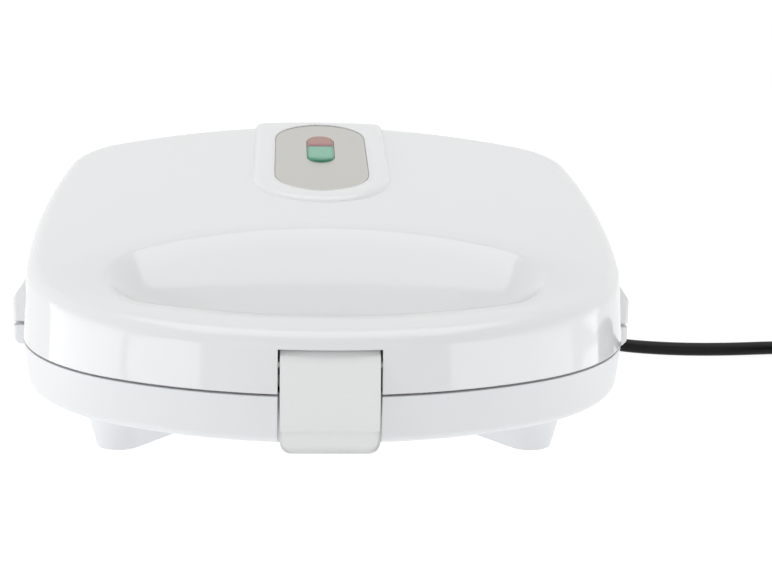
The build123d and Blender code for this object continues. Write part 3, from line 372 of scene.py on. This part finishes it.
def moulded_plastic(
    name,
    colour,
    roughness,
    wave_mm,
    wave_depth,
    mottle=SLIGHT_MOTTLE,
    shine=PLAIN_SHINE,
    soft_places=(),
):
    material, tree = new_material(name)
    place = add_node(tree, "ShaderNodeTexCoord")
    wave = add_node(
        tree,
        "ShaderNodeTexNoise",
        None,
        {
            "Vector": place.outputs["Object"],
            "Scale": 1 / (wave_mm * MM),
            "Detail": 2.0,
            "Roughness": 0.5,
        },
    )
    tint = add_node(
        tree,
        "ShaderNodeMix",
        {"data_type": "RGBA"},
        {"Factor": wave.outputs["Fac"], "A": linear(colour), "B": darkened(colour, 1 - mottle)},
    )
    toned = tint.outputs["Result"]
    widest = EDGE_MM * MM
    for middle, half_sizes, round_mm, share in soft_places:
        centred = add_node(
            tree,
            "ShaderNodeMapping",
            {"vector_type": "TEXTURE"},
            {"Vector": place.outputs["Object"], "Location": middle, "Scale": half_sizes},
        )
        reach = add_node(
            tree,
            "ShaderNodeVectorMath",
            {"operation": "LENGTH"},
            {0: centred.outputs[0]},
        )
        rounding = add_node(
            tree,
            "ShaderNodeMapRange",
            None,
            {
                "Value": reach.outputs["Value"],
                "From Min": ROUNDING_FADES_FROM,
                "From Max": 1.0,
                "To Min": round_mm * MM,
                "To Max": EDGE_MM * MM,
            },
        )
        wider = add_node(
            tree,
            "ShaderNodeMath",
            {"operation": "MAXIMUM"},
            {0: rounding.outputs[0], 1: widest},
        )
        widest = wider.outputs[0]
        # painted shade: inside the place the colour is scaled down to share, fading out towards its
        # surface
        painted_shade = add_node(
            tree,
            "ShaderNodeMapRange",
            None,
            {
                "Value": reach.outputs["Value"],
                "From Min": PAINTED_SHADE_FADES_FROM,
                "From Max": 1.0,
                "To Min": share,
                "To Max": 1.0,
            },
        )
        with_painted_shade = add_node(
            tree,
            "ShaderNodeVectorMath",
            {"operation": "SCALE"},
            {0: toned, "Scale": painted_shade.outputs[0]},
        )
        toned = with_painted_shade.outputs[0]
    edge = add_node(tree, "ShaderNodeBevel", {"samples": BEVEL_SAMPLES}, {"Radius": widest})
    bump = add_node(
        tree,
        "ShaderNodeBump",
        None,
        {
            "Strength": 1.0,
            "Distance": wave_depth * MM,
            "Height": wave.outputs["Fac"],
            "Normal": edge.outputs["Normal"],
        },
    )
    shader = add_node(
        tree,
        "ShaderNodeBsdfPrincipled",
        None,
        {
            "Base Color": toned,
            "Roughness": roughness,
            "IOR": PLASTIC_IOR,
            "Specular IOR Level": shine,
            "Normal": bump.outputs["Normal"],
        },
    )
    add_node(tree, "ShaderNodeOutputMaterial", None, {"Surface": shader.outputs[0]})
    return material


# %% Paint the white housing
def finish(material, *names):
    for name in names:
        mesh = nodes[name].data
        mesh.materials.clear()
        mesh.materials.append(material)
    print(material.name, "on", ", ".join(names))


pocket = soft_place("lid_housing", (0.0, -0.072, 0.050), (0.104, 0.036, 0.022), round_mm=12.0)
# painted shade: the colour of the pocket's wall is darkened to 0.92 of the lid's white
pocket_wall_painted_shade = soft_place("lid_housing", (0.0, -0.050, 0.060), (0.105, 0.045, 0.030), share=0.92)
rib = soft_place("lid_housing", (0.0, 0.070, 0.098), (0.042, 0.085, 0.024), round_mm=4.0)
tab = soft_place("latch", (0.0, -0.1185, 0.0208), (0.060, 0.007, 0.0046), round_mm=3.0)

# material: colour, roughness, wave width and depth in mm, soft places, piece
white_plastics = {
    "polished_white_abs": ("#E9EAEB", 0.07, 6.0, 0.002, (pocket, pocket_wall_painted_shade, rib), "lid_housing"),
    "satin_white_abs": ("#E7E9EB", 0.34, 1.2, 0.004, (), "base_housing"),
    # painted light: the latch is a lit copy of the base's satin white, its colour tuned to how light
    # falls on the front-facing latch
    "satin_white_latch_abs_painted_light": ("#ECEDED", 0.30, 1.2, 0.004, (tab,), "latch"),
}
for name, (colour, roughness, wave_mm, wave_depth, places, piece) in white_plastics.items():
    plastic = moulded_plastic(name, colour, roughness, wave_mm, wave_depth, soft_places=places)
    finish(plastic, piece)

# %% [markdown]
# ## Brushed and bright metal
#
# The plate round the lamps is thin stainless sheet, brushed across its width. Brushing leaves fine
# scratches in one direction, so noise that is stretched a hundred times along X does it: it changes
# the colour, the roughness and the height a little. The real scratches are about 0.05 mm wide, too
# fine to show, so they are drawn 0.4 mm wide on the plate. Drawn, plated and scaled metals inside
# share the function with their own colours.

# %% Function for brushed metal
STRETCH = (0.01, 1.0, 1.0)
SCRATCH_SHADE = 0.88
SCRATCH_DEPTH_MM = 0.01
ROUGHNESS_SPREAD = 0.08


def brushed_metal(name, colour, roughness, scratch_mm):
    material, tree = new_material(name)
    place = add_node(tree, "ShaderNodeTexCoord")
    stretch = add_node(
        tree,
        "ShaderNodeMapping",
        None,
        {"Vector": place.outputs["Object"], "Scale": STRETCH},
    )
    scratch = add_node(
        tree,
        "ShaderNodeTexNoise",
        None,
        {
            "Vector": stretch.outputs[0],
            "Scale": 1 / (scratch_mm * MM),
            "Detail": 3.0,
            "Roughness": 0.6,
        },
    )
    rough = add_node(
        tree,
        "ShaderNodeMapRange",
        None,
        {
            "Value": scratch.outputs["Fac"],
            "To Min": roughness - ROUGHNESS_SPREAD,
            "To Max": roughness + ROUGHNESS_SPREAD,
        },
    )
    tint = add_node(
        tree,
        "ShaderNodeMix",
        {"data_type": "RGBA"},
        {"Factor": scratch.outputs["Fac"], "A": darkened(colour, SCRATCH_SHADE), "B": linear(colour)},
    )
    bump = add_node(
        tree,
        "ShaderNodeBump",
        None,
        {"Strength": 0.6, "Distance": SCRATCH_DEPTH_MM * MM, "Height": scratch.outputs["Fac"]},
    )
    shader = add_node(
        tree,
        "ShaderNodeBsdfPrincipled",
        None,
        {
            "Base Color": tint.outputs["Result"],
            "Metallic": 1.0,
            "Roughness": rough.outputs[0],
            "Normal": bump.outputs["Normal"],
        },
    )
    add_node(tree, "ShaderNodeOutputMaterial", None, {"Surface": shader.outputs[0]})
    return material


# %% Paint the metal pieces
# material: colour, roughness, scratch width in mm, pieces
metals = {
    "brushed_stainless_steel": ("#C8C7C2", 0.32, 0.4, ["trim_plate"]),
    "bright_aluminium_sheet": ("#DADADA", 0.25, 0.8, ["lower_heat_shield", "upper_heat_shield"]),
    "drawn_steel_wire": ("#A8A8A6", 0.28, 0.3, ["hinge_pins", "latch_pin", "thermal_fuse"]),
    "zinc_plated_steel": ("#B4B4B0", 0.30, 0.3, ["lower_plate_screws", "upper_plate_screws"]),
    "nickel_plated_brass": ("#C9C4B6", 0.22, 0.3, ["plug_pins"]),
    "scaled_steel_sheath": ("#6E6A66", 0.45, 0.6, ["lower_heating_element", "upper_heating_element"]),
}
for name, (colour, roughness, scratch_mm, pieces) in metals.items():
    finish(brushed_metal(name, colour, roughness, scratch_mm), *pieces)

# %% [markdown]
# ## Lamp lenses
#
# The lenses are tinted clear plastic with a frosted underside, so they glow softly in their own
# colour and mirror the room on top. A little transmission through a tinted shader does that. Near
# the sides a darker, deep colour fades in over the last 1.3 mm at the left and right and over 4.5 mm
# at the front: partly the longer way of the light through the colour, partly painted shade from the
# walls round the lenses. The glass of the lamps below is made in the same way.

# %% Function for tinted lens plastic
SIDE_RIM_MM = 1.3
FRONT_RIM_MM = 4.5
FROST_MM = 1.5
FROST_SHADE = 0.85


def tinted_lens(name, colour, rim_tint_and_shade_colour, piece):
    material, tree = new_material(name)
    place = add_node(tree, "ShaderNodeTexCoord")
    frost = add_node(
        tree,
        "ShaderNodeTexNoise",
        None,
        {"Vector": place.outputs["Object"], "Scale": 1 / (FROST_MM * MM), "Detail": 1.0},
    )
    tint = add_node(
        tree,
        "ShaderNodeMix",
        {"data_type": "RGBA"},
        {"Factor": frost.outputs["Fac"], "A": darkened(colour, FROST_SHADE), "B": linear(colour)},
    )
    # rims where a darker colour fades in: partly deep tint, partly painted shade of the walls round them
    corners = nodes[piece].bound_box
    rims = [
        ("X", min(c[0] for c in corners), SIDE_RIM_MM),
        ("X", max(c[0] for c in corners), -SIDE_RIM_MM),
        ("Y", min(c[1] for c in corners), FRONT_RIM_MM),
    ]
    axis = add_node(tree, "ShaderNodeSeparateXYZ", None, {0: place.outputs["Object"]})
    rim_tint_and_shade = 0.0
    for letter, start, width in rims:
        near = add_node(
            tree,
            "ShaderNodeMapRange",
            None,
            {
                "Value": axis.outputs[letter],
                "From Min": start,
                "From Max": start + width * MM,
                "To Min": 1.0,
                "To Max": 0.0,
            },
        )
        deeper = add_node(
            tree,
            "ShaderNodeMath",
            {"operation": "MAXIMUM"},
            {0: near.outputs[0], 1: rim_tint_and_shade},
        )
        rim_tint_and_shade = deeper.outputs[0]
    depth = add_node(
        tree,
        "ShaderNodeMix",
        {"data_type": "RGBA"},
        {"Factor": rim_tint_and_shade, "A": tint.outputs["Result"], "B": linear(rim_tint_and_shade_colour)},
    )
    shader = add_node(
        tree,
        "ShaderNodeBsdfPrincipled",
        None,
        {
            "Base Color": depth.outputs["Result"],
            "Roughness": 0.12,
            "IOR": 1.49,
            "Transmission Weight": 0.25,
        },
    )
    add_node(tree, "ShaderNodeOutputMaterial", None, {"Surface": shader.outputs[0]})
    return material


# %% Paint the lenses and lamps
finish(tinted_lens("green_acrylic", "#80CFAE", "#1F8A62", "green_lens"), "green_lens")
finish(tinted_lens("red_acrylic", "#BF8678", "#7E1420", "red_lens"), "red_lens")
finish(tinted_lens("lamp_bulb_glass", "#E8D2B8", "#C9A88A", "neon_lamps"), "neon_lamps")

# %% [markdown]
# ## Non-stick coating
#
# The baking plates are cast aluminium under a sprayed dark coating. It is satin, with a fine grain
# and pale specks of mica. The grain is a bump from noise with a cell of 0.8 mm, coarser than the real
# one so that it shows, and the specks are the highest peaks of the same noise.

# %% Function for the coating
GRAIN_MM = 0.8
GRAIN_DEPTH_MM = 0.03
SPECK_STARTS = 0.62
SPECK_FULL = 0.72


def nonstick_coating(name, colour, speck_colour):
    material, tree = new_material(name)
    place = add_node(tree, "ShaderNodeTexCoord")
    grain = add_node(
        tree,
        "ShaderNodeTexNoise",
        None,
        {"Vector": place.outputs["Object"], "Scale": 1 / (GRAIN_MM * MM), "Detail": 3.0},
    )
    specks = add_node(
        tree,
        "ShaderNodeMapRange",
        None,
        {"Value": grain.outputs["Fac"], "From Min": SPECK_STARTS, "From Max": SPECK_FULL},
    )
    tint = add_node(
        tree,
        "ShaderNodeMix",
        {"data_type": "RGBA"},
        {"Factor": specks.outputs[0], "A": linear(colour), "B": linear(speck_colour)},
    )
    bump = add_node(
        tree,
        "ShaderNodeBump",
        None,
        {"Strength": 0.5, "Distance": GRAIN_DEPTH_MM * MM, "Height": grain.outputs["Fac"]},
    )
    shader = add_node(
        tree,
        "ShaderNodeBsdfPrincipled",
        None,
        {
            "Base Color": tint.outputs["Result"],
            "Roughness": 0.42,
            "IOR": 1.45,
            "Normal": bump.outputs["Normal"],
        },
    )
    add_node(tree, "ShaderNodeOutputMaterial", None, {"Surface": shader.outputs[0]})
    return material


coating = nonstick_coating("sprayed_nonstick_coating", "#2B2B2D", "#4A4A4C")
finish(coating, "lower_baking_plate", "upper_baking_plate")

# %% [markdown]
# ## Dark and inner plastics
#
# The cord's sheath, the strain relief and the plug are soft black plastics, and the pads are rubber.
# What sits inside is natural nylon or a pale ceramic. They share the function for moulded plastic,
# with other colours and a rougher surface. The black ones are also dull: with the usual shine they
# mirror so much of the white room that they look grey.

# %% Paint the dark and inner pieces
DULL = 0.16
STRONG_MOTTLE = 0.2

# material: colour, roughness, grain width and depth in mm, mottle, shine, pieces
inner_plastics = {
    "black_rubber": ("#1D1D1D", 0.75, 0.6, 0.02, STRONG_MOTTLE, DULL, ["foot_pads"]),
    "black_pvc_strain_relief": ("#161617", 0.5, 0.8, 0.01, STRONG_MOTTLE, DULL, ["cord_gland"]),
    "black_pvc_plug": ("#161617", 0.45, 0.8, 0.01, STRONG_MOTTLE, DULL, ["plug_body"]),
    "black_nylon_tie": ("#1A1A1A", 0.55, 0.8, 0.01, STRONG_MOTTLE, DULL, ["cord_tie"]),
    "natural_nylon": ("#DBD8D0", 0.45, 1.0, 0.004, 0.04, PLAIN_SHINE, ["terminal_block", "lamp_holder"]),
    "steatite_ceramic": ("#CFC9BC", 0.55, 0.8, 0.01, 0.05, PLAIN_SHINE, ["thermostat"]),
}
for name, (*look, pieces) in inner_plastics.items():
    finish(moulded_plastic(name, *look), *pieces)
sheath = moulded_plastic("black_pvc_cord_sheath", "#101011", 0.38, 1.5, 0.01, STRONG_MOTTLE, DULL)
line.materials.append(sheath)
print(sheath.name, "on the cord")

# %% [markdown]
# ## Close
#
# The last line brings the scene up to date.

# %% Finish
bpy.context.view_layer.update()
